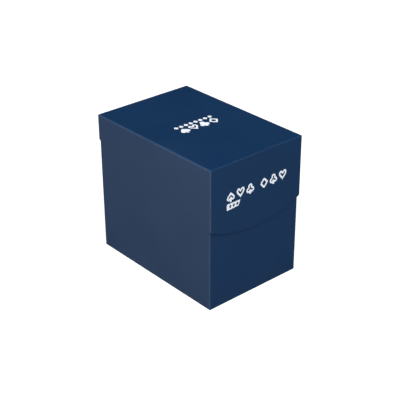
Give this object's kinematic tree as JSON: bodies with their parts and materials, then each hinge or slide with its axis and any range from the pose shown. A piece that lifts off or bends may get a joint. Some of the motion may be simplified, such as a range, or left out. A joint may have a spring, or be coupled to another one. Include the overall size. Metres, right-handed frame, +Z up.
{
  "type": "card deck box",
  "caption": "Deck box for trading cards, folded from thin plastic sheet, with a flip-over lid on a living hinge, a curved lower edge on the lid's front flap, and a loose divider inside.",
  "frame": {"origin": "on the table, in the middle of the closed box's footprint", "axes": "+X across the front from left to right, +Y from the printed front to the hinge at the back, +Z up"},
  "size_m": [0.0756, 0.1104, 0.098],
  "materials": {
    "navy_sheet": "fine matte grain",
    "divider_sheet": "fine matte grain",
    "white_ink": "flat screen-printed ink"
  },
  "bodies": {
    "base": {"base_floor": "navy_sheet", "base_front_wall": "navy_sheet", "base_back_wall": "navy_sheet", "base_left_wall": "navy_sheet", "base_right_wall": "navy_sheet", "base_front_left_tab": "navy_sheet", "base_front_right_tab": "navy_sheet", "base_back_left_tab": "navy_sheet", "base_back_right_tab": "navy_sheet", "hinge_leaf": "navy_sheet", "living_hinge": "navy_sheet"},
    "lid": {"lid_top": "navy_sheet", "lid_front_flap": "navy_sheet", "lid_left_flap": "navy_sheet", "lid_right_flap": "navy_sheet", "lid_left_tab": "navy_sheet", "lid_right_tab": "navy_sheet"},
    "divider": {"card_divider": "divider_sheet"}
  },
  "joints": [
    {"name": "lid_hinge", "type": "hinge", "parent": "base", "child": "lid", "pos_m": [0, 0.055, 0.0978], "axis": [-1, 0, 0], "range_deg": [0, 240], "deforming": ["living_hinge"]},
    {"name": "divider_slide", "type": "slide", "parent": "base", "child": "divider", "axis": [0, 1, 0], "range_m": [-0.065, 0.03]}
  ]
}
